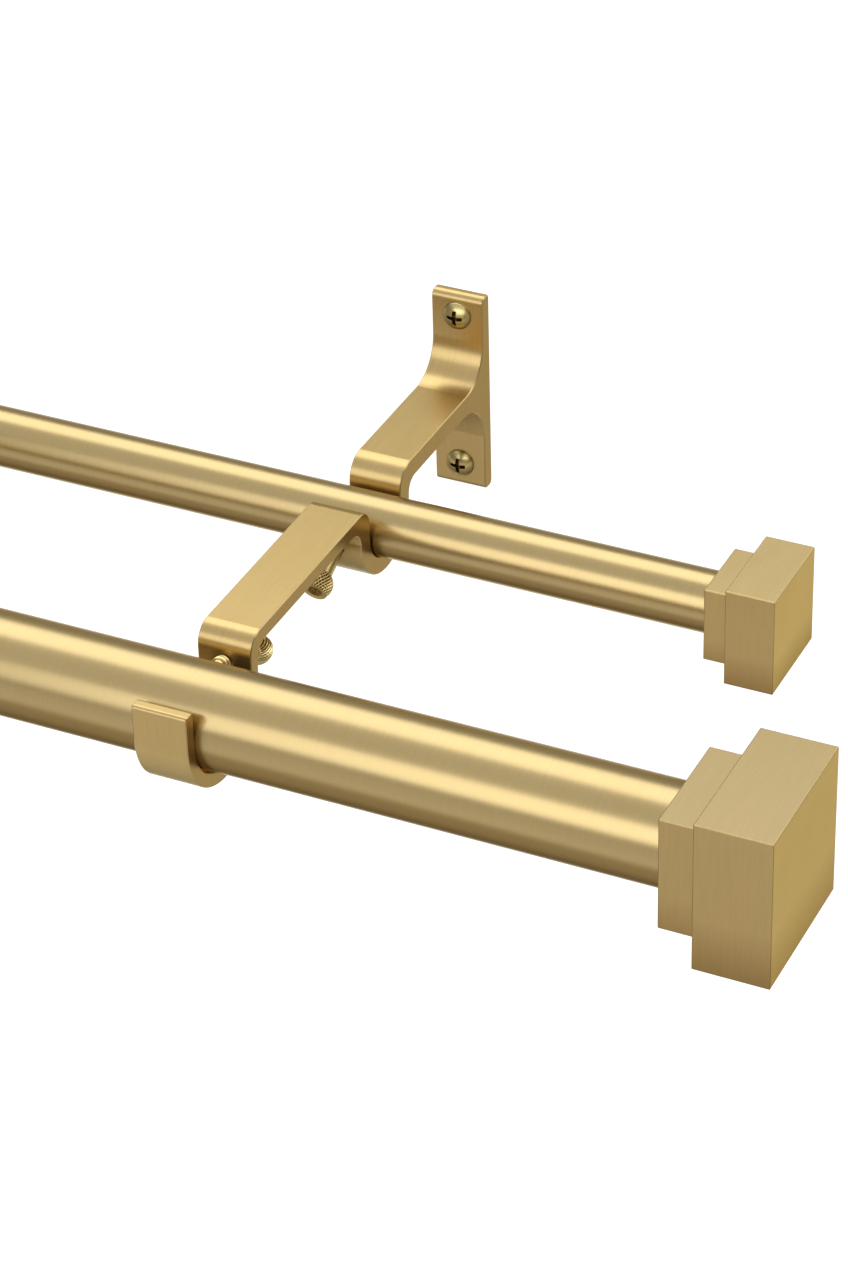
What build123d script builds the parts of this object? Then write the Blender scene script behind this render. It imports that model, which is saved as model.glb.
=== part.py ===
from build123d import *
import math
import os

# Double curtain pole: two telescoping poles on a pair of extruded wall brackets.
# Frame: millimetres, +X along the poles, +Y into the wall, +Z up.
# Origin: on the wall's face, in the middle of the four wall screws.

# Poles
front_tube_diameter = 25.4
rear_tube_diameter = 15.875
front_tube_length = 711.0
rear_tube_length = 655.5
tube_wall = 0.8
front_inner_diameter = 22.2
rear_inner_diameter = 12.7
extension_travel = 508.0
tube_edge_chamfer = 0.2
cut_overrun = 1.0

# Slide bush, guide ring and end plug inside the tubes
bush_length = 25.0
ring_length = 12.0
bush_setback = 0.5
ring_inset = 1.0
running_clearance = 0.05
glue_clearance = 0.02
plug_length = 18.0
plug_inset = 0.05

# Finials: a collar block against the tube, then a larger block
front_collar_side = 30.5
front_collar_length = 10.3
front_block_side = 40.4
front_block_length = 19.0
rear_collar_side = 20.3
rear_collar_length = 6.8
rear_block_side = 27.0
rear_block_length = 12.8
finial_edge_chamfer = 0.3
closed_gap = 0.2

# Studs that hold the finials to the end plugs
front_stud_diameter = 6.0
rear_stud_diameter = 5.0
stud_length = 20.0
stud_end_chamfer = 0.6
stud_fit = 0.05
stud_end_gap = 0.05
front_stud_depth = 12.0
rear_stud_depth = 10.0

# Bracket, an extrusion cut to width
bracket_spacing = 460.0
bracket_width = 14.5
bracket_edge_chamfer = 0.25
screw_spacing = 45.0
plate_thickness = 4.1
plate_above_screw = 6.1
plate_below_screw = 6.8
plate_top_round = 2.0
plate_back_round = 1.2
plate_bottom_round = 1.4
front_pole_drop = 6.6
rear_pole_drop = 5.65
arm_rise = 11.8
wall_arm_thickness = 5.6
front_arm_thickness = 4.0
wall_arm_upper_fillet = 10.3
wall_arm_lower_fillet = 12.5
round_share = 0.95

# Rear hook: a U with a thinner bottom, the pole lying on it with the same room on both sides
rear_pole_projection = 64.0
rear_hook_side_gap = 0.85
rear_strip_thickness = 5.2
rear_hook_outer_lift = 0.6
rear_bend_outer = 6.4
rear_bend_inner = 4.0
rear_corner_outer = 4.8
rear_corner_inner = 4.8

# Front hook: a U of even thickness, the pole pressed against the lip in front
front_pole_projection = 154.6
front_hook_side_gap = 2.0
front_strip_thickness = 3.5
front_bend_outer = 5.4
front_bend_inner = 4.0
lip_rise = 9.9
lip_front_round = 1.0
lip_back_round = 0.8
seat_gap = 0.05

# Wall screws, domed head with a cross recess
wall_screw_neck = 4.4
wall_screw_shank = 4.0
wall_screw_reach = 8.0
wall_screw_point = 3.5
wall_screw_hole = 4.6
wall_screw_head = 7.8
wall_screw_head_height = 2.3
wall_screw_rim = 0.5
recess_span = 4.4
recess_width = 1.2
recess_depth = 1.5

# Thumbscrews, slanting down from the tip to the ball head; reach is from the tip to the ball's middle,
# flat is from there to the head's flat end
front_thumb_tilt = 21.0
rear_thumb_tilt = 25.0
front_thumb_reach = 22.3
rear_thumb_reach = 18.0
front_thumb_rise = 2.73
rear_thumb_rise = 1.14
thumb_shank = 4.5
thumb_hole = 4.6
thumb_head_diameter = 7.9
thumb_head_flat = 2.4
thumb_dish_diameter = 3.2
thumb_dish_depth = 0.9
thumb_tip_steps = 4
thumb_head_steps = 6
thumb_rest_gap = 0.05
thumb_hole_reach = 3.0

# Worked out from the sizes above
front_radius = front_tube_diameter / 2
rear_radius = rear_tube_diameter / 2
front_pole_height = -front_pole_drop
rear_pole_height = -rear_pole_drop
arm_top = front_pole_height + arm_rise
front_axis_y = -front_pole_projection
rear_axis_y = -rear_pole_projection
front_hook_radius = front_radius + front_hook_side_gap
rear_hook_radius = rear_radius + rear_hook_side_gap
front_hook_y = front_axis_y + front_hook_side_gap - seat_gap
rear_hook_y = rear_axis_y
rear_hook_height = rear_pole_height + rear_hook_side_gap - seat_gap
front_strip_front = front_hook_y + front_hook_radius
front_strip_back = front_strip_front + front_strip_thickness
rear_strip_back = rear_hook_y - rear_hook_radius
rear_strip_front = rear_strip_back - rear_strip_thickness
screw_height = screw_spacing / 2
bracket_x = bracket_spacing / 2


def save(solid, name):
    """Write one named piece."""
    export_step(solid, os.path.join("parts", name + ".step"))


# Bracket

def block(y_low, y_high, z_low, z_high):
    """Rectangle in the profile's plane, given by its sides."""
    centre = Pos((y_low + y_high) / 2, (z_low + z_high) / 2)
    return centre * Rectangle(y_high - y_low, z_high - z_low)


def rounded(profile, y, z, radius):
    """Round the profile's corner nearest to a point."""
    corner = profile.vertices().sort_by_distance(Vector(y, z, 0))[0]
    return fillet(corner, radius)


def within(radius, room):
    """Radius of a round, limited by the straight length beside it."""
    return min(radius, round_share * room)


def wall_part():
    """Plate against the wall, and the arm that leaves it at mid-height."""
    plate = block(-plate_thickness, 0, -screw_height - plate_below_screw, screw_height + plate_above_screw)
    arm = block(rear_hook_y + rear_hook_radius, -plate_thickness, arm_top - wall_arm_thickness, arm_top)
    return plate + arm


def hook(centre_y, centre_z, radius, thickness, outer_lift, front_top, back_top):
    """U-shaped strip round a pole, its two sides as high as asked."""
    outer_radius = radius + thickness
    outer_z = centre_z + outer_lift
    disc = Pos(centre_y, outer_z) * Circle(outer_radius)
    lower_half = block(centre_y - outer_radius, centre_y + outer_radius, outer_z - outer_radius, outer_z)
    outer = disc & lower_half
    front_side = block(centre_y - outer_radius, centre_y, outer_z, front_top)
    back_side = block(centre_y, centre_y + outer_radius, outer_z, back_top)
    bottom = Pos(centre_y, centre_z) * Circle(radius)
    throat = block(centre_y - radius, centre_y + radius, centre_z, arm_top + outer_radius)
    return outer + front_side + back_side - bottom - throat


def bracket_profile():
    """Closed outline of the extrusion, drawn in the Y-Z plane."""
    rear_hook = hook(rear_hook_y, rear_hook_height, rear_hook_radius, rear_strip_thickness,
                     rear_hook_outer_lift, arm_top, arm_top)
    lip_top = front_pole_height + lip_rise
    front_hook = hook(front_hook_y, front_pole_height, front_hook_radius, front_strip_thickness,
                      0, lip_top, arm_top)
    front_arm = block(front_strip_front, rear_strip_back, arm_top - front_arm_thickness, arm_top)
    profile = wall_part() + rear_hook + front_arm + front_hook
    plate_top = screw_height + plate_above_screw
    plate_bottom = -screw_height - plate_below_screw
    wall_arm_under = arm_top - wall_arm_thickness
    front_arm_under = arm_top - front_arm_thickness
    rear_wall_strip_front = rear_hook_y + rear_hook_radius
    rear_wall_strip_back = rear_wall_strip_front + rear_strip_thickness
    lip_front = front_hook_y - front_hook_radius - front_strip_thickness
    rear_straight_from = rear_hook_height + rear_hook_outer_lift
    wall_side_inner = within(rear_bend_inner, wall_arm_under - rear_straight_from)
    room_side_inner = within(rear_corner_inner, front_arm_under - rear_straight_from)
    corners = [
        (-plate_thickness, plate_top, plate_top_round),
        (0, plate_top, plate_back_round),
        (-plate_thickness, plate_bottom, plate_bottom_round),
        (0, plate_bottom, plate_bottom_round),
        (-plate_thickness, arm_top, wall_arm_upper_fillet),
        (-plate_thickness, wall_arm_under, wall_arm_lower_fillet),
        (rear_wall_strip_front, arm_top, rear_bend_outer),
        (rear_wall_strip_back, wall_arm_under, wall_side_inner),
        (rear_strip_back, arm_top, rear_corner_outer),
        (rear_strip_front, front_arm_under, room_side_inner),
        (front_strip_front, arm_top, front_bend_outer),
        (front_strip_back, front_arm_under, front_bend_inner),
        (lip_front, lip_top, lip_front_round),
        (lip_front + front_strip_thickness, lip_top, lip_back_round),
    ]
    for y, z, radius in corners:
        profile = rounded(profile, y, z, radius)
    return profile


def slanted(y, z, toward_wall, slope):
    """Plane whose Z runs from a thumbscrew's tip to its head, seated at a point on its axis."""
    tilt = math.radians(slope)
    direction = Vector(0, toward_wall * math.cos(tilt), -math.sin(tilt))
    return Plane(origin=(0, y, z), x_dir=(1, 0, 0), z_dir=direction)


def front_thumb_plane():
    """Axis of the front thumbscrew, from the middle of the front strip; its head is on the wall side."""
    middle = front_strip_front + front_strip_thickness / 2
    return slanted(middle, front_pole_height + front_thumb_rise, 1, front_thumb_tilt)


def rear_thumb_plane():
    """Axis of the rear thumbscrew, from the middle of the rear strip; its head is on the room side."""
    middle = rear_strip_front + rear_strip_thickness / 2
    return slanted(middle, rear_pole_height + rear_thumb_rise, -1, rear_thumb_tilt)


def bracket():
    """Extrusion with its screw holes and its two slanted tapped holes."""
    body = extrude(Plane.YZ * bracket_profile(), bracket_width / 2, both=True)
    side_edges = body.faces().filter_by(Axis.X).edges()
    body = chamfer(side_edges, bracket_edge_chamfer)
    drill = Rot(90, 0, 0) * Cylinder(wall_screw_hole / 2, plate_thickness + 2 * cut_overrun)
    for side in (-1, 1):
        body -= Pos(0, -plate_thickness / 2, side * screw_height) * drill
    front_tap = Cylinder(thumb_hole / 2, front_strip_thickness + 2 * thumb_hole_reach)
    rear_tap = Cylinder(thumb_hole / 2, rear_strip_thickness + 2 * thumb_hole_reach)
    body -= front_thumb_plane() * front_tap
    body -= rear_thumb_plane() * rear_tap
    return body


# Tubes and what is inside them

def pipe(outer_diameter, inner_diameter, length, edge_chamfer):
    """Hollow cylinder along X, centred, with its outer end edges broken."""
    solid = Rot(0, 90, 0) * Cylinder(outer_diameter / 2, length)
    if edge_chamfer:
        solid = chamfer(solid.edges().filter_by(GeomType.CIRCLE), edge_chamfer)
    return solid - Rot(0, 90, 0) * Cylinder(inner_diameter / 2, length + 2 * cut_overrun)


def between(x_low, x_high, outer_diameter, inner_diameter, edge_chamfer=0):
    """Hollow cylinder along X from one station to another."""
    centre = Pos((x_low + x_high) / 2, 0, 0)
    return centre * pipe(outer_diameter, inner_diameter, x_high - x_low, edge_chamfer)


def telescope(tube_diameter, tube_length, inner_diameter, axis_y, height):
    """Outer tube, inner tube, bush and ring of one pole, closed."""
    half = tube_length / 2
    bore = tube_diameter - 2 * tube_wall
    seat = Pos(0, axis_y, height)
    bush_end = -half + bush_setback + bush_length
    ring_start = bush_end + extension_travel
    ring_end = ring_start + ring_length
    inner_end = ring_end + ring_inset
    inner_bore = inner_diameter - 2 * tube_wall
    bush_bore = inner_diameter + 2 * running_clearance
    return {
        "outer_tube": seat * between(-half, half, tube_diameter, bore, tube_edge_chamfer),
        "inner_tube": seat * between(-half, inner_end, inner_diameter, inner_bore, tube_edge_chamfer),
        "slide_bush": seat * between(-half + bush_setback, bush_end, bore - 2 * glue_clearance, bush_bore),
        "guide_ring": seat * between(ring_start, ring_end, bore - 2 * running_clearance, inner_diameter),
    }


def end_plug(bore, stud_diameter, centre_x):
    """Plug pressed into a tube's end, with a hole for the finial's stud."""
    body = Rot(0, 90, 0) * Cylinder(bore / 2 - glue_clearance, plug_length)
    body = chamfer(body.edges().filter_by(GeomType.CIRCLE), tube_edge_chamfer)
    body -= Rot(0, 90, 0) * Cylinder(stud_diameter / 2 + stud_fit, plug_length + 2 * cut_overrun)
    return Pos(centre_x, 0, 0) * body


# Finials and studs

def finial(collar_side, collar_length, block_side, block_length, stud_diameter, stud_depth):
    """Stepped square finial along +X from its collar's face, with a blind hole for the stud."""
    block_centre = collar_length + block_length / 2
    collar = Pos(block_centre / 2, 0, 0) * Box(block_centre, collar_side, collar_side)
    cube = Pos(block_centre, 0, 0) * Box(block_length, block_side, block_side)
    collar = chamfer(collar.edges(), finial_edge_chamfer)
    cube = chamfer(cube.edges(), finial_edge_chamfer)
    hole = Pos(stud_depth / 2, 0, 0) * Rot(0, 90, 0) * Cylinder(stud_diameter / 2 + stud_fit, stud_depth)
    return collar + cube - hole


def stud(diameter):
    """Threaded stud along X, centred, shown as its plain form."""
    rod = Rot(0, 90, 0) * Cylinder(diameter / 2, stud_length)
    return chamfer(rod.edges().filter_by(GeomType.CIRCLE), stud_end_chamfer)


# Screws

def revolved(points):
    """Solid of revolution about Z from (radius, height) points."""
    outline = make_face(Polyline(*[(radius, 0, height) for radius, height in points], close=True))
    return revolve(outline, Axis.Z)


def wall_screw():
    """Domed screw along +Y: plain neck through the plate, thinner threaded part and point in the wall."""
    neck_radius = wall_screw_neck / 2
    shank_radius = wall_screw_shank / 2
    head_radius = wall_screw_head / 2
    reach = plate_thickness + wall_screw_reach
    neck = [(0, 0), (neck_radius, 0), (neck_radius, plate_thickness)]
    threaded = [(shank_radius, plate_thickness), (shank_radius, reach - wall_screw_point), (0, reach)]
    shank = revolved(neck + threaded)
    dome_rise = wall_screw_head_height - wall_screw_rim
    dome_radius = (head_radius ** 2 + dome_rise ** 2) / (2 * dome_rise)
    rim = Pos(0, 0, -wall_screw_rim / 2) * Cylinder(head_radius, wall_screw_rim)
    ball = Pos(0, 0, dome_radius - wall_screw_head_height) * Sphere(dome_radius)
    cap = Pos(0, 0, -wall_screw_head_height / 2) * Cylinder(head_radius, wall_screw_head_height)
    head = (ball & cap) + rim
    for turn in (0, 90):
        slot = Rot(0, 0, turn) * Box(recess_span, recess_width, 2 * recess_depth)
        head -= Pos(0, 0, -wall_screw_head_height) * slot
    return Rot(-90, 0, 0) * (shank + head)


def thumbscrew(reach):
    """Thumbscrew along +Z: rounded tip at 0, plain shank, ball head with a flat dished end."""
    shank_radius = thumb_shank / 2
    ball = thumb_head_diameter / 2
    neck_angle = math.asin(shank_radius / ball)
    end_angle = math.acos(-thumb_head_flat / ball)
    outline = []
    for step in range(thumb_tip_steps + 1):
        angle = math.pi / 2 * step / thumb_tip_steps
        outline.append((shank_radius * math.sin(angle), shank_radius * (1 - math.cos(angle))))
    for step in range(thumb_head_steps + 1):
        angle = neck_angle + (end_angle - neck_angle) * step / thumb_head_steps
        outline.append((ball * math.sin(angle), reach - ball * math.cos(angle)))
    end_height = reach + thumb_head_flat
    outline.append((thumb_dish_diameter / 2, end_height))
    outline.append((0, end_height - thumb_dish_depth))
    return revolved(outline)


def thumb_seat(plane, axis_y, height, radius):
    """Place a thumbscrew so that its rounded tip rests on a pole."""
    tip_radius = thumb_shank / 2
    reach = radius + tip_radius + thumb_rest_gap
    offset = Vector(0, plane.origin.Y - axis_y, plane.origin.Z - height)
    along = offset.dot(plane.z_dir)
    sideways = offset.length ** 2 - along ** 2
    ball_at = math.sqrt(reach ** 2 - sideways) - along
    tip = plane.origin + plane.z_dir * (ball_at - tip_radius)
    return Plane(origin=tip, x_dir=plane.x_dir, z_dir=plane.z_dir)


def save_ends(pole, seat, end_x, bores, stud_diameter, stud_depth, shape):
    """Finial, stud and plug at both ends of one pole."""
    finial_x = end_x + closed_gap
    stud_x = finial_x + stud_depth - stud_end_gap - stud_length / 2
    plug_x = end_x - plug_inset - plug_length / 2
    for side_name, side, bore in (("right", 1, bores[0]), ("left", -1, bores[1])):
        turn = Rot(0, 0, 0) if side > 0 else Rot(0, 0, 180)
        save(seat * Pos(side * finial_x, 0, 0) * turn * shape, f"{pole}_finial_{side_name}")
        save(seat * Pos(side * stud_x, 0, 0) * stud(stud_diameter), f"{pole}_stud_{side_name}")
        save(seat * end_plug(bore, stud_diameter, side * plug_x), f"{pole}_end_plug_{side_name}")


def save_brackets():
    """Both brackets with their wall screws and thumbscrews."""
    one_bracket = bracket()
    screw = wall_screw()
    front_seat = thumb_seat(front_thumb_plane(), front_axis_y, front_pole_height, front_radius)
    rear_seat = thumb_seat(rear_thumb_plane(), rear_axis_y, rear_pole_height, rear_radius)
    front_thumb = front_seat * thumbscrew(front_thumb_reach)
    rear_thumb = rear_seat * thumbscrew(rear_thumb_reach)
    for side_name, side in (("right", 1), ("left", -1)):
        place = Pos(side * bracket_x, 0, 0)
        save(place * one_bracket, "bracket_" + side_name)
        for level_name, level in (("upper", 1), ("lower", -1)):
            seat = Pos(0, -plate_thickness, level * screw_height)
            save(place * seat * screw, f"wall_screw_{side_name}_{level_name}")
        save(place * front_thumb, "front_thumbscrew_" + side_name)
        save(place * rear_thumb, "rear_thumbscrew_" + side_name)


def main():
    """Make and write every piece."""
    os.makedirs("parts", exist_ok=True)
    front = telescope(front_tube_diameter, front_tube_length, front_inner_diameter,
                      front_axis_y, front_pole_height)
    rear = telescope(rear_tube_diameter, rear_tube_length, rear_inner_diameter,
                     rear_axis_y, rear_pole_height)
    for pole, pieces in (("front", front), ("rear", rear)):
        for piece, solid in pieces.items():
            save(solid, pole + "_" + piece)

    front_finial = finial(front_collar_side, front_collar_length, front_block_side, front_block_length,
                          front_stud_diameter, front_stud_depth)
    front_bores = (front_tube_diameter - 2 * tube_wall, front_inner_diameter - 2 * tube_wall)
    save_ends("front", Pos(0, front_axis_y, front_pole_height), front_tube_length / 2, front_bores,
              front_stud_diameter, front_stud_depth, front_finial)
    rear_finial = finial(rear_collar_side, rear_collar_length, rear_block_side, rear_block_length,
                         rear_stud_diameter, rear_stud_depth)
    rear_bores = (rear_tube_diameter - 2 * tube_wall, rear_inner_diameter - 2 * tube_wall)
    save_ends("rear", Pos(0, rear_axis_y, rear_pole_height), rear_tube_length / 2, rear_bores,
              rear_stud_diameter, rear_stud_depth, rear_finial)
    save_brackets()


main()
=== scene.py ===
import math

import bpy
import numpy as np
from mathutils import Matrix, Vector


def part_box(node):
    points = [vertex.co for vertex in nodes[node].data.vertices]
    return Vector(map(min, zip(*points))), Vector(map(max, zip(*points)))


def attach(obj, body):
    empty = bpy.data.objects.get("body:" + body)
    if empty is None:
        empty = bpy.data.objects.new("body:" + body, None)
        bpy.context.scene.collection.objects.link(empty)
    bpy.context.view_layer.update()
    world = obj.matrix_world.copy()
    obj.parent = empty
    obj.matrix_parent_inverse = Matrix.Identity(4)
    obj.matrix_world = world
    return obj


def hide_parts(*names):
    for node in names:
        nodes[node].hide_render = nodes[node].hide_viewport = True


# Double curtain pole in satin brass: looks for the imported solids.
# Metres, +X along the poles, +Y into the wall, +Z up. Sizes of the part are written in millimetres and
# scaled by MM; those of the studio and of the materials are in metres.

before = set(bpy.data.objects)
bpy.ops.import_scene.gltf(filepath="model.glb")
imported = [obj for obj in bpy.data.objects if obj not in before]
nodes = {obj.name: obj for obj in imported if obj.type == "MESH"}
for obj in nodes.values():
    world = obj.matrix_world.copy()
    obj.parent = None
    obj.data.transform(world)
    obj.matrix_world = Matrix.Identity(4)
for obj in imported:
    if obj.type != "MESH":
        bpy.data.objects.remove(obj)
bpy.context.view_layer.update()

MM = 0.001

# Photograph's frame and the camera fitted to it
PHOTO_HEIGHT_PX = 1264
FOCAL_PX = 4118.07
CAMERA_YAW = 26.217
CAMERA_PITCH = 33.888
CAMERA_ROLL = -1.694
CAMERA_PLACE = (0.63437, -0.85034, 0.55326)
CAMERA_REACH = 100.0
SENSOR_HEIGHT = 36.0

# Poles: place of the axis, radius of the outer and the inner tube, and the finial's place along the pole
POLES = {
    "front": {"y": -154.6, "z": -6.6, "radius": 12.7, "inner": 11.1, "end": 355.7},
    "rear": {"y": -64.0, "z": -5.65, "radius": 7.9375, "inner": 6.35, "end": 327.95},
}
TUBE_WALL = 0.8
TUBE_LIP = 0.25
AROUND_TUBE = 256

# Finials: length and side of the collar, then of the block; the least corner is a share of the edge
FINIALS = {
    "front": {"collar_length": 10.3, "collar": 30.5, "block_length": 19.0, "block": 40.4},
    "rear": {"collar_length": 6.8, "collar": 20.3, "block_length": 12.8, "block": 27.0},
}
FINIAL_EDGE = 0.3
FINIAL_LEAST_CORNER = 0.02
FINIAL_SHARP = 40

# Thumbscrews: side of the head, slope, a point on the axis, the distance from the tip to the ball's middle,
# the hand of the deeper ridges and the share of the ones that cross them
THUMBS = {
    "front": {"toward": 1, "tilt": 21.0, "y": -136.2, "z": -3.87, "reach": 22.3, "hand": 1, "cross": 0.1},
    "rear": {"toward": -1, "tilt": 25.0, "y": -75.3875, "z": -4.51, "reach": 18.0, "hand": -1, "cross": 0.35},
}
THUMB_SHANK = 4.5
THUMB_REST_GAP = 0.05
THUMB_PITCH = 1.4
THUMB_THREAD_DEPTH = 0.40
THUMB_PLAIN = 7.5
THUMB_HEAD_DIAMETER = 7.9
THUMB_HEAD_FLAT = 2.4
THUMB_DISH = 4.8
THUMB_DISH_DEPTH = 0.9
THUMB_RIDGES = 26
THUMB_RIDGE_TWIST = 0.75
THUMB_RIDGE_DEPTH = 0.45
THUMB_SHARP = 50

# Thumbscrew's mesh: steps round it, rings, and the small distances that keep neighbours apart
AROUND_THUMB = 364
THREAD_RINGS = 110
BALL_RINGS = 66
DISH_RINGS = 8
TIP_START = 0.02
NECK_GAP = 0.02
THREAD_STEP = 0.1
DISH_MIDDLE_SHARE = 0.02
END_SLACK = 0.01

# Thumbscrew's thread grows between two distances from the tip and runs out before the plain shank, and
# the ball's ridges grow from its neck
THREAD_GROWS = (0.2, 0.9)
THREAD_RUN_OUT = 0.6
RIDGE_RUN_IN = 0.5

# How much painted shade each part of a thumbscrew gets, and the depths between which a groove's shade rises
GROOVE_DEPTHS = (0.35, 0.8)
DISH_MARK = 0.9
DISH_MARK_INSET = 0.05
VALLEY_MARK = 0.8
SHANK_MARK = 0.5

# Wall screws, through the bracket's plate
SCREW_NECK = 4.4
SCREW_SHANK = 4.0
SCREW_REACH = 8.0
SCREW_POINT = 3.5
SCREW_HEAD = 7.8
SCREW_HEAD_HEIGHT = 2.3
SCREW_RIM = 0.5
SCREW_EDGE = 0.15
SCREW_PITCH = 1.4
SCREW_THREAD_DEPTH = 0.5
SCREW_CREST_POWER = 3
SCREW_END_GAP = 0.05
SCREW_SHARP = 38
PLATE_THICKNESS = 4.1
SCREW_LEVEL = 22.5
BRACKET_X = 230.0
RECESS_SPAN = 4.4
RECESS_WIDTH = 1.2
RECESS_DEPTH = 1.5
RECESS_SLOPE = 0.35
AROUND_SCREW = 208
CAP_RINGS = 84
CAP_MIDDLE = 0.03
SCREW_THREAD_RINGS = 76

# The two ends of the set, and the sign of X on each
SIDES = (("right", 1), ("left", -1))


# Camera

def make_camera():
    """Camera turned by yaw round Z, then pitch, then roll about its own line of sight."""
    yaw, pitch, roll = (math.radians(angle) for angle in (CAMERA_YAW, CAMERA_PITCH, CAMERA_ROLL))
    back = Vector((math.sin(yaw) * math.cos(pitch), -math.cos(yaw) * math.cos(pitch), math.sin(pitch)))
    right = Vector((math.cos(yaw), math.sin(yaw), 0.0))
    up = back.cross(right)
    turned_right = right * math.cos(roll) + up * math.sin(roll)
    turned_up = up * math.cos(roll) - right * math.sin(roll)
    data = bpy.data.cameras.new("view")
    data.sensor_fit = "VERTICAL"
    data.sensor_height = SENSOR_HEIGHT
    data.lens = FOCAL_PX / PHOTO_HEIGHT_PX * SENSOR_HEIGHT
    data.clip_end = CAMERA_REACH
    camera = bpy.data.objects.new("view", data)
    columns = Matrix((turned_right, turned_up, back)).transposed().to_4x4()
    camera.matrix_world = Matrix.Translation(CAMERA_PLACE) @ columns
    bpy.context.scene.collection.objects.link(camera)
    bpy.context.scene.camera = camera


make_camera()


# Node helpers

def ranged(tree, link, value, source=(0, 1), target=(0, 1)):
    """Straight line that takes the source range to the target range, held at both ends."""
    line = tree.new("ShaderNodeMapRange")
    for socket, number in zip(("From Min", "From Max", "To Min", "To Max"), (*source, *target)):
        line.inputs[socket].default_value = number
    link(value, line.inputs["Value"])
    return line.outputs["Result"]


def one_axis(tree, link, vector, axis):
    """One coordinate of a vector."""
    split = tree.new("ShaderNodeSeparateXYZ")
    link(vector, split.inputs[0])
    return split.outputs[axis]


def here(tree):
    """Place of the shaded point in the part's own frame, in metres."""
    return tree.new("ShaderNodeTexCoord").outputs["Object"]


# Studio

FLOOR_DEPTH = 1.0
FLOOR_HALF = 20.0
FLOOR_PAINT = 0.5
FLOOR_GLOW = 0.68
MATT_ROUGHNESS = 0.9
BOARD_DEPTH = 0.46
BOARD_BACK = 0.15
BOARD_FRONT = -0.62
BOARD_HALF_LENGTH = 1.6
SET_CENTRE = Vector((0.0, -0.11, -0.007))
LAMP_TINT = (0.94, 1.0, 1.08)
WORLD_LEVEL = 0.42

# Under board, seen only as painted dark reflections in the poles: colour at shares of its width, from its
# room side to its wall side
BOARD_SHADES = (
    (0.0, (0.56, 0.49, 0.40, 1)),
    (0.156, (0.38, 0.32, 0.25, 1)),
    (0.286, (0.40, 0.345, 0.265, 1)),
    (0.455, (0.40, 0.34, 0.26, 1)),
    (0.66, (0.19, 0.155, 0.115, 1)),
    (0.857, (0.15, 0.12, 0.085, 1)),
    (0.96, (0.60, 0.56, 0.50, 1)),
)

# Soft panels: angle round the poles from the room side, distance, middle along the poles, size and level
PANELS = {
    "top_light": {"angle": 118, "distance": 2.0, "middle": 0.0,
                  "length": 5.8, "width": 1.72, "level": 2.65},
    "middle_light": {"angle": 68, "distance": 1.5, "middle": 0.0,
                     "length": 3.2, "width": 1.3, "level": 0.62},
    "front_light": {"angle": 24, "distance": 1.3, "middle": 0.475,
                    "length": 1.85, "width": 0.82, "level": 2.85},
    "side_light": {"angle": 154, "distance": 1.2, "middle": 0.95,
                   "length": 0.9, "width": 0.5, "level": 1.2},
}


def level_board(name, x_low, x_high, y_low, y_high, z):
    """Level rectangle given by its sides and its height."""
    corners = [(x_low, y_low, z), (x_high, y_low, z), (x_high, y_high, z), (x_low, y_high, z)]
    mesh = bpy.data.meshes.new(name)
    mesh.from_pydata(corners, [], [(0, 1, 2, 3)])
    board = bpy.data.objects.new(name, mesh)
    bpy.context.scene.collection.objects.link(board)
    return board


def matt(name):
    """Matt paint for the studio, still without a colour of its own."""
    material = bpy.data.materials.new(name)
    material.use_nodes = True
    shader = material.node_tree.nodes["Principled BSDF"]
    shader.inputs["Roughness"].default_value = MATT_ROUGHNESS
    shader.inputs["Specular IOR Level"].default_value = 0.0
    return material


def floor_paint():
    """Pale paint that the camera and mirror-like rays see lifted to white, and that keeps its shadows."""
    material = matt("pale_floor")
    tree, link = material.node_tree.nodes, material.node_tree.links.new
    shader = tree["Principled BSDF"]
    shader.inputs["Base Color"].default_value = (FLOOR_PAINT, FLOOR_PAINT, FLOOR_PAINT, 1)
    path = tree.new("ShaderNodeLightPath")
    seen = path.outputs["Is Camera Ray"]
    for kind in ("Is Glossy Ray", "Is Transmission Ray"):
        either = tree.new("ShaderNodeMath")
        either.operation = "MAXIMUM"
        link(seen, either.inputs[0])
        link(path.outputs[kind], either.inputs[1])
        seen = either.outputs[0]
    shader.inputs["Emission Color"].default_value = (1, 1, 1, 1)
    link(ranged(tree, link, seen, target=(0, FLOOR_GLOW)), shader.inputs["Emission Strength"])
    return material


def shade_paint():
    """Warm grey that runs straight from one shade of the board's list to the next: palest along its two long
    sides, and darkest just short of the wall side."""
    material = matt("shade_paint")
    tree, link = material.node_tree.nodes, material.node_tree.links.new
    ramp = tree.new("ShaderNodeValToRGB")
    stops = ramp.color_ramp.elements
    stops[0].position, stops[0].color = BOARD_SHADES[0]
    stops[-1].position, stops[-1].color = BOARD_SHADES[-1]
    for share, shade in BOARD_SHADES[1:-1]:
        stops.new(share).color = shade
    across = ranged(tree, link, one_axis(tree, link, here(tree), "Y"), (BOARD_FRONT, BOARD_BACK))
    link(across, ramp.inputs["Fac"])
    link(ramp.outputs["Color"], tree["Principled BSDF"].inputs["Base Color"])
    return material


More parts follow.
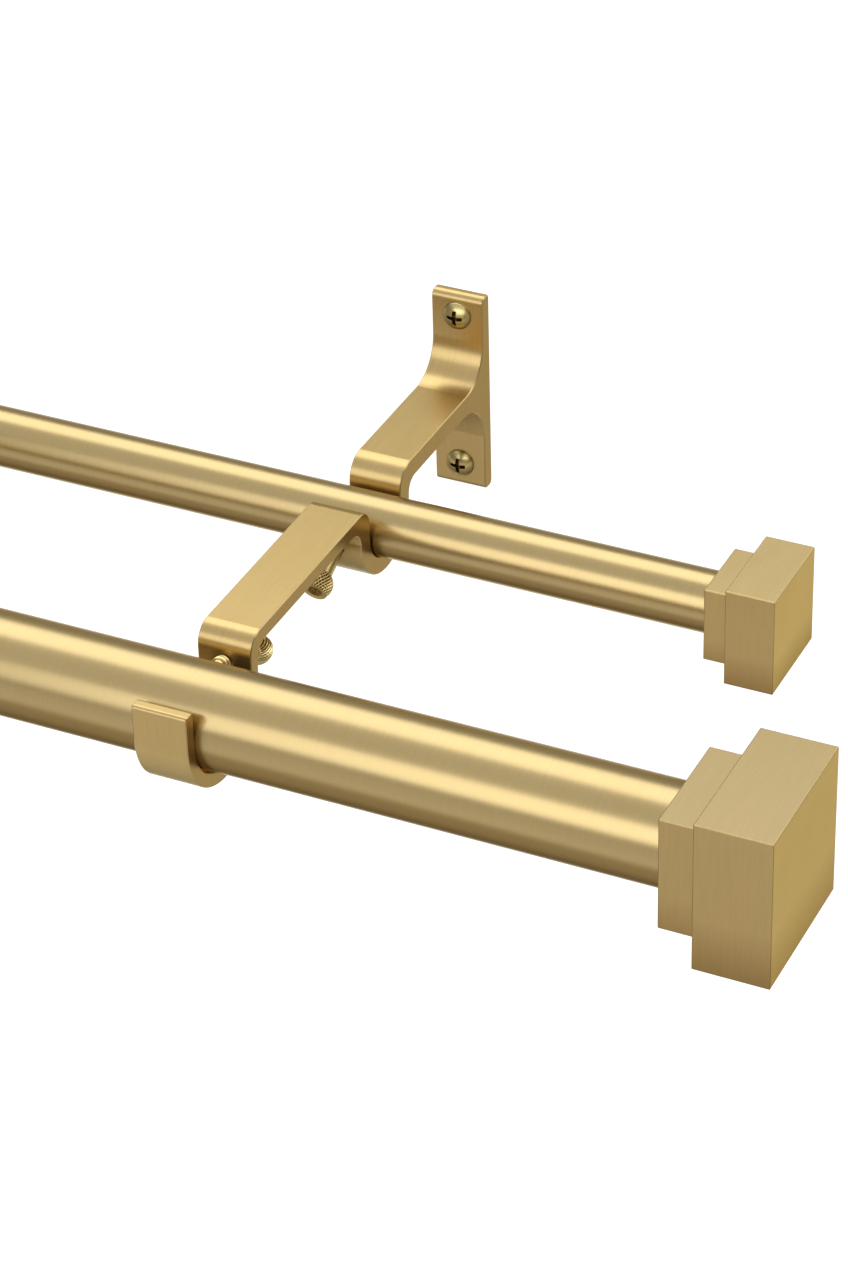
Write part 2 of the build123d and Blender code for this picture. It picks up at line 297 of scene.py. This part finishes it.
def soft_panel(name, angle, distance, middle, length, width, level):
    """Long soft light parallel to the poles, turned to them: its angle goes from the room side (0) over the
    top (90) to the wall side, and its power is its level times pi times its area."""
    turn = math.radians(angle)
    toward = Vector((0, -math.cos(turn), math.sin(turn)))
    side = Vector((1, 0, 0))
    data = bpy.data.lights.new(name, "AREA")
    data.shape = "RECTANGLE"
    data.size = length
    data.size_y = width
    data.energy = level * math.pi * length * width
    data.color = LAMP_TINT
    panel = bpy.data.objects.new(name, data)
    columns = Matrix((side, toward.cross(side), toward)).transposed().to_4x4()
    panel.matrix_world = Matrix.Translation(SET_CENTRE + toward * distance + side * middle) @ columns
    bpy.context.scene.collection.objects.link(panel)


def build_studio():
    """Pale floor, a board under the poles that only their reflections show, four soft panels and even air."""
    floor = level_board("floor", -FLOOR_HALF, FLOOR_HALF, -FLOOR_HALF, FLOOR_HALF, -FLOOR_DEPTH)
    floor.data.materials.append(floor_paint())
    shade = level_board("under_board", -BOARD_HALF_LENGTH, BOARD_HALF_LENGTH, BOARD_FRONT, BOARD_BACK,
                        -BOARD_DEPTH)
    shade.data.materials.append(shade_paint())
    shade.visible_camera = False
    shade.visible_diffuse = False
    shade.visible_shadow = False
    for name, sizes in PANELS.items():
        soft_panel(name, **sizes)
    world = bpy.data.worlds.new("studio_air")
    bpy.context.scene.world = world
    world.use_nodes = True
    air = world.node_tree.nodes["Background"].inputs["Color"]
    air.default_value = (WORLD_LEVEL, WORLD_LEVEL, WORLD_LEVEL, 1)
    bpy.context.scene.view_settings.view_transform = "Standard"


build_studio()


# Meshes

EDGE_STEPS = 4
QUARTER_TURN = np.linspace(0, np.pi / 2, EDGE_STEPS + 1)
NORMAL_WEIGHT = 80


def closed_surface(name, rings, wrap=False):
    """Quads between neighbouring rings, vertex (i, j) being step j of ring i; the end rings close on their
    middle points, unless the last ring joins the first. Faces are turned outwards by the volume's sign."""
    rings = np.asarray(rings, float) * MM
    count, around = rings.shape[:2]
    i = np.arange(count if wrap else count - 1)[:, None]
    j = np.arange(around)[None, :]
    low, high, ahead = i * around, ((i + 1) % count) * around, (j + 1) % around
    quads = np.stack([low + j, low + ahead, high + ahead, high + j], -1).reshape(-1, 4)
    points = rings.reshape(-1, 3)
    fans = np.zeros((0, 3), int)
    if not wrap:
        step, after = np.arange(around), (np.arange(around) + 1) % around
        last = (count - 1) * around
        start_fan = np.stack([np.full(around, len(points)), after, step], -1)
        end_fan = np.stack([np.full(around, len(points) + 1), last + step, last + after], -1)
        points = np.vstack([points, rings[0].mean(0), rings[-1].mean(0)])
        fans = np.vstack([start_fan, end_fan])
    halves = np.vstack([quads[:, :3], quads[:, [0, 2, 3]], fans])
    corners = points[halves]
    volume = np.einsum("ij,ij->i", corners[:, 0], np.cross(corners[:, 1], corners[:, 2])).sum()
    if volume < 0:
        quads, fans = quads[:, ::-1], fans[:, ::-1]
    mesh = bpy.data.meshes.new(name)
    mesh.from_pydata(points.tolist(), [], quads.tolist() + fans.tolist())
    mesh.polygons.foreach_set("use_smooth", np.ones(len(mesh.polygons), bool))
    mesh.update()
    piece = bpy.data.objects.new(name, mesh)
    bpy.context.scene.collection.objects.link(piece)
    return piece


def even_normals(piece):
    """Let large faces rule the shading of the small ones at their edges."""
    modifier = piece.modifiers.new("even_normals", "WEIGHTED_NORMAL")
    modifier.mode = "FACE_AREA"
    modifier.weight = NORMAL_WEIGHT
    modifier.keep_sharp = True
    return piece


def axes_across(axis):
    """Two unit directions square to an axis that lies along X or square to it; the first one is level."""
    level = np.array([1.0, 0.0, 0.0]) if axis[0] == 0 else np.array([0.0, 1.0, 0.0])
    return level, np.cross(axis, level)


def turned(name, origin, axis, along, radius, wrap=False):
    """Surface round an axis: point = origin + axis * along + radius * (level * cos t + other * sin t). Both
    along and radius are (rings, around) arrays in millimetres, or (rings,) arrays for a plain round piece."""
    if radius.ndim == 1:
        radius = np.repeat(radius[:, None], AROUND_TUBE, 1)
        along = np.repeat(along[:, None], AROUND_TUBE, 1)
    axis = np.asarray(axis, float)
    level, other = axes_across(axis)
    t = np.linspace(0, 2 * np.pi, radius.shape[1], endpoint=False)
    spoke = level * np.cos(t)[:, None] + other * np.sin(t)[:, None]
    rings = np.asarray(origin, float) + along[..., None] * axis + radius[..., None] * spoke
    return closed_surface(name, rings, wrap)


def saw(value):
    """Triangle wave from 0 to 1 and back over one unit."""
    return 1 - np.abs(2 * (value % 1.0) - 1)


def smooth_step(value, low, high):
    """Smooth rise from 0 at low to 1 at high."""
    share = np.clip((value - low) / (high - low), 0, 1)
    return share * share * (3 - 2 * share)


def store_painted_shade(piece, depth):
    """Store each vertex's painted shade, 0 to 1, mostly that of grooves and recesses; vertices without a
    value get 0.
    """
    values = np.concatenate([depth.ravel(), np.zeros(len(piece.data.vertices) - depth.size)])
    piece.data.attributes.new("recess", "FLOAT", "POINT").data.foreach_set("value", values)


# Tubes

def tube(name, node, body, outer_radius, pole):
    """Straight pipe: its section is a rectangle with rounded outer corners, carried round the pole's axis."""
    low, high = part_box(node)
    x_low, x_high = low.x / MM, high.x / MM
    inner = outer_radius - TUBE_WALL
    inset_x, inset_r = TUBE_LIP * (1 - np.cos(QUARTER_TURN)), TUBE_LIP * (1 - np.sin(QUARTER_TURN))
    along = np.concatenate([x_low + inset_x, (x_high - inset_x)[::-1], [x_high, x_low]])
    radius = np.concatenate([outer_radius - inset_r, (outer_radius - inset_r)[::-1], [inner, inner]])
    piece = turned(name, (0, pole["y"], pole["z"]), (1, 0, 0), along, radius, wrap=True)
    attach(even_normals(piece), body)
    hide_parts(node)
    return piece


# Finials

def rounded_square(half, corner):
    """Ring of a square with round corners: each corner's centre is in from both sides by its radius."""
    quarter = np.stack([np.cos(QUARTER_TURN), np.sin(QUARTER_TURN)], -1) * corner + (half - corner)
    angles = np.arange(4) * np.pi / 2
    turns = [np.array([[np.cos(q), -np.sin(q)], [np.sin(q), np.cos(q)]]) for q in angles]
    return np.vstack([quarter @ turn.T for turn in turns])


def stepped_finial(name, node, body, sizes, side, pole):
    """Collar and block as one loft of rounded squares along the pole: half side shrinks by the edge's radius
    at each outer edge, along a quarter circle."""
    collar, block, edge = sizes["collar"], sizes["block"], FINIAL_EDGE
    step, far = sizes["collar_length"], sizes["collar_length"] + sizes["block_length"]
    least = FINIAL_LEAST_CORNER * edge
    inset, corner = edge * (1 - np.sin(QUARTER_TURN)), np.maximum(edge * np.sin(QUARTER_TURN), least)
    run = edge * (1 - np.cos(QUARTER_TURN))
    stations = [(x, collar / 2 - i, c) for x, i, c in zip(run, inset, corner)]
    stations += [(step, collar / 2, edge)]
    stations += [(step + x, block / 2 - i, c) for x, i, c in zip(run, inset, corner)]
    stations += [(far - x, block / 2 - i, c) for x, i, c in zip(run[::-1], inset[::-1], corner[::-1])]
    rings = []
    for x, half, c in stations:
        ring = rounded_square(half, c)
        rings.append(np.column_stack([np.full(len(ring), side * (pole["end"] + x)),
                                      pole["y"] + ring[:, 0], pole["z"] + ring[:, 1]]))
    piece = closed_surface(name, rings)
    piece.data.set_sharp_from_angle(angle=math.radians(FINIAL_SHARP))
    even_normals(piece)
    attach(piece, body)
    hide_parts(node)
    return piece


# Thumbscrews

def thumb_axis(thumb):
    """Direction from a thumbscrew's tip to its head."""
    tilt = math.radians(thumb["tilt"])
    return np.array([0.0, thumb["toward"] * math.cos(tilt), -math.sin(tilt)])


def thumb_tip(thumb, pole, x):
    """Tip of a thumbscrew resting on a pole: along its axis, the tip's ball touches the pole's circle."""
    axis, ball = thumb_axis(thumb), THUMB_SHANK / 2
    reach = pole["radius"] + ball + THUMB_REST_GAP
    offset = np.array([0, thumb["y"] - pole["y"], thumb["z"] - pole["z"]])
    along = offset @ axis
    ball_at = math.sqrt(reach ** 2 - (offset @ offset - along ** 2)) - along
    return np.array([x, thumb["y"], thumb["z"]]) + axis * (ball_at - ball)


def thumbscrew(name, node, thumb, pole, x):
    """Turned screw: radius over distance from the tip is a round end, a thread (a triangle wave of distance
    over pitch less the turn), a plain shank, a ball and a dished flat end. Two families of slanting ridges
    cross on the ball: triangle waves of the turn plus and less the distance."""
    shank, ball = THUMB_SHANK / 2, THUMB_HEAD_DIAMETER / 2
    neck_angle, end_angle = math.asin(shank / ball), math.acos(-THUMB_HEAD_FLAT / ball)
    head_low, head_high = thumb["reach"] - ball * math.cos(neck_angle), thumb["reach"] + THUMB_HEAD_FLAT
    thread_end = head_low - THUMB_PLAIN
    turn = np.linspace(0, 1, AROUND_THUMB, endpoint=False)[None, :]

    screw_along = np.linspace(TIP_START, thread_end, THREAD_RINGS)
    screw_radius = np.sqrt(shank ** 2 - np.clip(shank - screw_along, 0, None) ** 2)
    plain_along = np.array([thread_end + THREAD_STEP, head_low - NECK_GAP])
    ball_t = np.linspace(neck_angle, end_angle, BALL_RINGS)
    dish_t = np.linspace(1, DISH_MIDDLE_SHARE, DISH_RINGS)
    along = np.concatenate([screw_along, plain_along, thumb["reach"] - ball * np.cos(ball_t),
                            head_high - THUMB_DISH_DEPTH * (1 - dish_t ** 2)])[:, None] + 0 * turn
    radius = np.concatenate([screw_radius, [shank, shank], ball * np.sin(ball_t),
                             THUMB_DISH / 2 * dish_t])[:, None] + 0 * turn

    running_out = smooth_step(along, thread_end - THREAD_RUN_OUT, thread_end)
    engaged = smooth_step(along, *THREAD_GROWS) * (1 - running_out)
    valley = (1 - saw(along / THUMB_PITCH - turn)) * engaged
    radius = radius - THUMB_THREAD_DEPTH * valley

    twist = thumb["hand"] * THUMB_RIDGE_TWIST * (along - thumb["reach"])
    one_way, other_way = saw(turn * THUMB_RIDGES + twist), saw(turn * THUMB_RIDGES - twist)
    groove = (1 - thumb["cross"]) * (1 - one_way) + thumb["cross"] * (1 - other_way)
    on_ball = smooth_step(along, head_low, head_low + RIDGE_RUN_IN) * (along < head_high - END_SLACK)
    radius = radius - THUMB_RIDGE_DEPTH * groove * on_ball

    piece = turned(name, thumb_tip(thumb, pole, x), thumb_axis(thumb), along, radius)
    near_end = along > head_high - THUMB_DISH_DEPTH - END_SLACK
    in_dish = near_end & (radius < THUMB_DISH / 2 - DISH_MARK_INSET)
    # Painted shade: in the ridges' grooves, in the dish, in the thread's valleys and over the plain shank
    marks = [
        smooth_step(groove, *GROOVE_DEPTHS) * on_ball,
        DISH_MARK * in_dish,
        VALLEY_MARK * smooth_step(valley, *GROOVE_DEPTHS),
        SHANK_MARK * (along > thread_end) * (along < head_low),
    ]
    store_painted_shade(piece, np.maximum.reduce(marks))
    piece.data.set_sharp_from_angle(angle=math.radians(THUMB_SHARP))
    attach(piece, node)
    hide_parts(node)
    return piece


# Wall screws

def cross_recess(across, up):
    """1 inside a cross and 0 outside, rising along its sloping walls: the larger of two arms, each the
    product of a smooth step along it and one across it."""
    half_span, half_width = RECESS_SPAN / 2, RECESS_WIDTH / 2
    arms = []
    for one, other in ((across, up), (up, across)):
        length = smooth_step(-np.abs(one), -half_span, -half_span + RECESS_SLOPE)
        width = smooth_step(-np.abs(other), -half_width, -half_width + RECESS_SLOPE)
        arms.append(length * width)
    return np.maximum(*arms)


def wall_screw(name, node, x, z):
    """Round-headed screw pointing into the wall. Head: height over radius is a sphere's cap, less a cross
    with sloping walls. Shank: neck, then a thread as a narrow triangle wave that tapers to the point."""
    turn = np.linspace(0, 2 * np.pi, AROUND_SCREW, endpoint=False)[None, :]
    head = SCREW_HEAD / 2
    dome_rise = SCREW_HEAD_HEIGHT - SCREW_RIM
    dome = (head ** 2 + dome_rise ** 2) / (2 * dome_rise)
    r = np.linspace(CAP_MIDDLE, head - SCREW_EDGE, CAP_RINGS)[:, None]
    height = SCREW_HEAD_HEIGHT - (dome - np.sqrt(dome ** 2 - r ** 2))
    cross = cross_recess(r * np.cos(turn), r * np.sin(turn))
    cap_along = -(height + (SCREW_HEAD_HEIGHT - RECESS_DEPTH - height) * cross)

    rim_along = np.array([-SCREW_RIM, -SCREW_RIM + SCREW_EDGE, 0.0, 0.0, PLATE_THICKNESS])
    rim_radius = np.array([head - SCREW_EDGE / 3, head, head, SCREW_NECK / 2, SCREW_NECK / 2])

    reach = PLATE_THICKNESS + SCREW_REACH
    thread_along = np.linspace(PLATE_THICKNESS + SCREW_END_GAP, reach - SCREW_END_GAP,
                               SCREW_THREAD_RINGS)[:, None] + 0 * turn
    taper = np.clip((reach - thread_along) / SCREW_POINT, 0, 1)
    wave = saw(thread_along / SCREW_PITCH - turn / (2 * np.pi)) ** SCREW_CREST_POWER
    core = SCREW_SHANK / 2 - SCREW_THREAD_DEPTH
    thread_radius = (core + SCREW_THREAD_DEPTH * wave) * taper

    along = np.vstack([cap_along, rim_along[:, None] + 0 * turn, thread_along])
    radius = np.vstack([r + 0 * turn, rim_radius[:, None] + 0 * turn, thread_radius])
    piece = turned(name, (x, -PLATE_THICKNESS, z), (0, 1, 0), along, radius)
    # The cross's mask is stored as painted shade in the recess attribute.
    store_painted_shade(piece, cross)
    piece.data.set_sharp_from_angle(angle=math.radians(SCREW_SHARP))
    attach(piece, "root")
    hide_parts(node)
    return piece


# Finishes

COAT_ROUGHNESS = 0.25
SOFT_METALLIC = 0.2
BUMP_DISTANCE = 0.00005
LINE_DETAIL = 5.0
LINE_ROUGHNESS = 0.62
LINE_RANGE = (0.3, 0.7)
CLOUD_DETAIL = 2.0
CLOUD_SHARE = 0.35

# Normals between which a face begins to count as cut across, as a top or as an underside, and does so fully
CUT_RANGE = (0.75, 0.95)
TOP_RANGE = (0.8, 0.95)
UNDER_RANGE = (0.01, -0.11)

# Sockets of a Mix node: share, two numbers, two colours, and the mixed number and colour
MIX_SHARE, NUMBER_A, NUMBER_B, COLOUR_A, COLOUR_B = 0, 2, 3, 6, 7
MIXED_NUMBER, MIXED_COLOUR = 0, 2


def colour(red, green, blue):
    """Linear colour from screen values of 0 to 255, by the sRGB curve."""
    values = np.array([red, green, blue]) / 255
    linear = np.where(values <= 0.04045, values / 12.92, ((values + 0.055) / 1.055) ** 2.4)
    return (*linear.tolist(), 1.0)


def brush_group():
    """Node group: fine lines from stretched noise, and slow clouds, both over the incoming vector."""
    group = bpy.data.node_groups.new("brush_marks", "ShaderNodeTree")
    for name, kind in (("Vector", "NodeSocketVector"), ("Line stretch", "NodeSocketVector"),
                       ("Clouds per metre", "NodeSocketFloat")):
        group.interface.new_socket(name, in_out="INPUT", socket_type=kind)
    for name in ("Lines", "Clouds"):
        group.interface.new_socket(name, in_out="OUTPUT", socket_type="NodeSocketFloat")
    tree, link = group.nodes, group.links.new
    inlet, outlet = tree.new("NodeGroupInput"), tree.new("NodeGroupOutput")
    stretch = tree.new("ShaderNodeVectorMath")
    stretch.operation = "MULTIPLY"
    link(inlet.outputs["Vector"], stretch.inputs[0])
    link(inlet.outputs["Line stretch"], stretch.inputs[1])
    lines = tree.new("ShaderNodeTexNoise")
    lines.inputs["Scale"].default_value = 1.0
    lines.inputs["Detail"].default_value = LINE_DETAIL
    lines.inputs["Roughness"].default_value = LINE_ROUGHNESS
    link(stretch.outputs[0], lines.inputs["Vector"])
    clouds = tree.new("ShaderNodeTexNoise")
    clouds.inputs["Detail"].default_value = CLOUD_DETAIL
    link(inlet.outputs["Vector"], clouds.inputs["Vector"])
    link(inlet.outputs["Clouds per metre"], clouds.inputs["Scale"])
    link(lines.outputs[0], outlet.inputs["Lines"])
    link(clouds.outputs[0], outlet.inputs["Clouds"])
    return group


BRUSH = brush_group()


def painted_shade_sides(tree, link):
    """Mask of the faces square to X, where a bar was cut from its length, which get painted shade."""
    size = tree.new("ShaderNodeVectorMath")
    size.operation = "ABSOLUTE"
    link(tree.new("ShaderNodeNewGeometry").outputs["True Normal"], size.inputs[0])
    return ranged(tree, link, one_axis(tree, link, size.outputs[0], "X"), CUT_RANGE)


def painted_shade_tops(tree, link):
    """Mask of the faces that look up, which get painted shade on the finial blocks."""
    normal = tree.new("ShaderNodeNewGeometry").outputs["True Normal"]
    return ranged(tree, link, one_axis(tree, link, normal, "Z"), TOP_RANGE)


def painted_light_undersides(tree, link):
    """Mask of the faces that look down, which get painted light on the bracket."""
    normal = tree.new("ShaderNodeNewGeometry").outputs["Normal"]
    return ranged(tree, link, one_axis(tree, link, normal, "Z"), UNDER_RANGE)


def lower_part(high, low):
    """Mask that rises from 0 at one height to 1 at a lower one, in metres, for painted shade toward the
    bottom.
    """
    def mask(tree, link):
        """Height of the shaded point, taken from the high to the low end."""
        return ranged(tree, link, one_axis(tree, link, here(tree), "Z"), (high, low))
    return mask


def painted_shade_marks(tree, link):
    """Mask of painted shade in grooves and recesses, and on a thumbscrew's shank, from the piece's own
    attribute.
    """
    mark = tree.new("ShaderNodeAttribute")
    mark.attribute_name = "recess"
    return mark.outputs["Fac"]


def brushed_colour(tree, link, marks, dark, light):
    """Colour from dark to light, by the fine lines and, for a share of it, by the clouds."""
    blend = tree.new("ShaderNodeMix")
    blend.data_type = "FLOAT"
    blend.inputs[MIX_SHARE].default_value = CLOUD_SHARE
    link(ranged(tree, link, marks.outputs["Lines"], LINE_RANGE), blend.inputs[NUMBER_A])
    link(marks.outputs["Clouds"], blend.inputs[NUMBER_B])
    tint = tree.new("ShaderNodeMix")
    tint.data_type = "RGBA"
    tint.inputs[COLOUR_A].default_value = dark
    tint.inputs[COLOUR_B].default_value = light
    link(blend.outputs[MIXED_NUMBER], tint.inputs[MIX_SHARE])
    return tint.outputs[MIXED_COLOUR]


def covered(tree, link, shown, mask, shade):
    """Colour multiplied by a shade where its mask is."""
    cover = tree.new("ShaderNodeMix")
    cover.data_type, cover.blend_type = "RGBA", "MULTIPLY"
    cover.inputs[COLOUR_B].default_value = shade
    link(mask(tree, link), cover.inputs[MIX_SHARE])
    link(shown, cover.inputs[COLOUR_A])
    return cover.outputs[MIXED_COLOUR]


def brushed(name, dark, light, stretch, clouds, roughness, bump, metallic=1.0, coat=0.0, edge=(1, 1, 1, 1),
            covers=(), soft=None):
    """Brushed finish: colour and roughness vary over the lines, which also lift the surface a little. Each
    cover is a mask and the shade that multiplies the colour there; soft is the mask of faces that scatter
    light more than they mirror it."""
    material = bpy.data.materials.new(name)
    material.use_nodes = True
    tree, link = material.node_tree.nodes, material.node_tree.links.new
    shader = tree["Principled BSDF"]
    shader.inputs["Metallic"].default_value = metallic
    shader.inputs["Coat Weight"].default_value = coat
    shader.inputs["Coat Roughness"].default_value = COAT_ROUGHNESS
    shader.inputs["Specular Tint"].default_value = edge
    marks = tree.new("ShaderNodeGroup")
    marks.node_tree = BRUSH
    marks.inputs["Line stretch"].default_value = stretch
    marks.inputs["Clouds per metre"].default_value = clouds
    link(here(tree), marks.inputs["Vector"])
    shown = brushed_colour(tree, link, marks, dark, light)
    for mask, shade in covers:
        shown = covered(tree, link, shown, mask, shade)
    link(shown, shader.inputs["Base Color"])
    if soft:
        gloss = ranged(tree, link, soft(tree, link), target=(metallic, SOFT_METALLIC))
        link(gloss, shader.inputs["Metallic"])
    link(ranged(tree, link, marks.outputs["Lines"], target=roughness), shader.inputs["Roughness"])
    relief = tree.new("ShaderNodeBump")
    relief.inputs["Strength"].default_value = bump
    relief.inputs["Distance"].default_value = BUMP_DISTANCE
    link(marks.outputs["Lines"], relief.inputs["Height"])
    link(relief.outputs["Normal"], shader.inputs["Normal"])
    return material


def wear(piece, material):
    """Give a piece one material."""
    piece.data.materials.clear()
    piece.data.materials.append(material)


BRASS_EDGE = (0.875, 0.757, 0.48, 1)
# Painted shade, darker toward the bottom of the finial blocks
PAINTED_LOW_SHADE = (0.65, 0.585, 0.50, 1)
# Painted shade on the bracket's cut sides
SIDE_PAINTED_SHADE = (0.60, 0.56, 0.59, 1)
# Painted light that brightens the bracket's undersides
UNDERSIDE_PAINTED_LIGHT = (1.06, 1.07, 0.98, 1)
# Painted shade in the wall screws' cross recesses
RECESS_PAINTED_SHADE = (0.285, 0.25, 0.22, 1)
# Painted shade in the thumbscrews' grooves, dish, thread valleys and plain shank
GROOVE_PAINTED_SHADE = (0.15, 0.105, 0.06, 1)

# Finial blocks: the two colours of the brushing, the heights between which painted shade darkens them, and
# the top's painted shade
# Front and rear blocks are one brass: the rear's lighter colours are painted light.
BLOCKS = {
    "front": {"dark": (165, 141, 94), "light": (177, 151, 102), "shaded_heights": (-0.012, -0.027),
              "top": (0.81, 0.84, 0.95, 1)},
    "rear": {"dark": (171, 146, 96), "light": (183, 157, 106), "shaded_heights": (-0.010, -0.0195),
             "top": (0.92, 0.95, 1.04, 1)},
}

rod_brass = brushed("rod_brass", colour(163, 139, 91), colour(171, 148, 99), stretch=(3600, 120, 120),
                    clouds=30, roughness=(0.275, 0.305), bump=0.01, coat=0.4, edge=BRASS_EDGE)
# Finial blocks: painted shade low on their faces and painted shade on their tops, multiplied into the brushed
# colour
block_brass = {
    pole: brushed(f"{pole}_block_brass", colour(*block["dark"]), colour(*block["light"]),
                  stretch=(3200, 90, 90), clouds=40, roughness=(0.35, 0.41), bump=0.08, edge=BRASS_EDGE,
                  covers=((lower_part(*block["shaded_heights"]), PAINTED_LOW_SHADE), (painted_shade_tops, block["top"])))
    for pole, block in BLOCKS.items()
}
# Bracket: painted light on its undersides, which also mirror less, and painted shade on its cut sides
bar_brass = brushed("bar_brass", colour(170, 144, 94), colour(182, 155, 104), stretch=(3600, 90, 90),
                    clouds=40, roughness=(0.30, 0.33), bump=0.03, edge=BRASS_EDGE,
                    covers=((painted_light_undersides, UNDERSIDE_PAINTED_LIGHT), (painted_shade_sides, SIDE_PAINTED_SHADE)), soft=painted_light_undersides)
# Wall screws: painted shade in the cross recess
screw_brass = brushed("screw_brass", colour(166, 148, 98), colour(184, 166, 114), stretch=(300, 300, 300),
                      clouds=60, roughness=(0.24, 0.34), bump=0.05, covers=((painted_shade_marks, RECESS_PAINTED_SHADE),))
# Thumbscrews: painted shade in the grooves, dish and thread, and on the plain shank
thumb_brass = brushed("thumb_brass", colour(212, 189, 129), colour(228, 205, 144), stretch=(300, 300, 300),
                      clouds=60, roughness=(0.30, 0.38), bump=0.05, edge=BRASS_EDGE,
                      covers=((painted_shade_marks, GROOVE_PAINTED_SHADE),))
plug_plastic = brushed("plug_plastic", colour(208, 204, 196), colour(224, 221, 214), stretch=(400, 400, 400),
                       clouds=80, roughness=(0.55, 0.7), bump=0.05, metallic=0.0)
stud_steel = brushed("stud_steel", colour(160, 160, 158), colour(186, 186, 184), stretch=(900, 900, 900),
                     clouds=80, roughness=(0.25, 0.4), bump=0.05)


# The set

def dress_pole(name):
    """Tubes, finials, thumbscrews and hidden parts of one pole, each in its finish. The left finial rides
    on the same body as the inner tube."""
    pole, inner_body = POLES[name], f"{name}_extension"
    wear(tube(f"{name}_pole", f"{name}_outer_tube", "root", pole["radius"], pole), rod_brass)
    wear(tube(f"{name}_inner_pole", f"{name}_inner_tube", inner_body, pole["inner"], pole), rod_brass)
    for (side_name, side), body in zip(SIDES, ("root", inner_body)):
        finial = stepped_finial(f"{name}_end_{side_name}", f"{name}_finial_{side_name}", body, FINIALS[name],
                                side, pole)
        wear(finial, block_brass[name])
        wear(nodes[f"{name}_end_plug_{side_name}"], plug_plastic)
        wear(nodes[f"{name}_stud_{side_name}"], stud_steel)
        thumb = thumbscrew(f"{name}_thumb_{side_name}", f"{name}_thumbscrew_{side_name}", THUMBS[name], pole,
                           side * BRACKET_X)
        wear(thumb, thumb_brass)
    for part in ("slide_bush", "guide_ring"):
        wear(nodes[f"{name}_{part}"], plug_plastic)


def dress_bracket(side_name, side):
    """One bracket and its two wall screws, each in its finish."""
    wear(nodes[f"bracket_{side_name}"], bar_brass)
    for level_name, level in (("upper", 1), ("lower", -1)):
        screw = wall_screw(f"screw_{side_name}_{level_name}", f"wall_screw_{side_name}_{level_name}",
                           side * BRACKET_X, level * SCREW_LEVEL)
        wear(screw, screw_brass)


for pole_name in POLES:
    dress_pole(pole_name)
for bracket_side in SIDES:
    dress_bracket(*bracket_side)
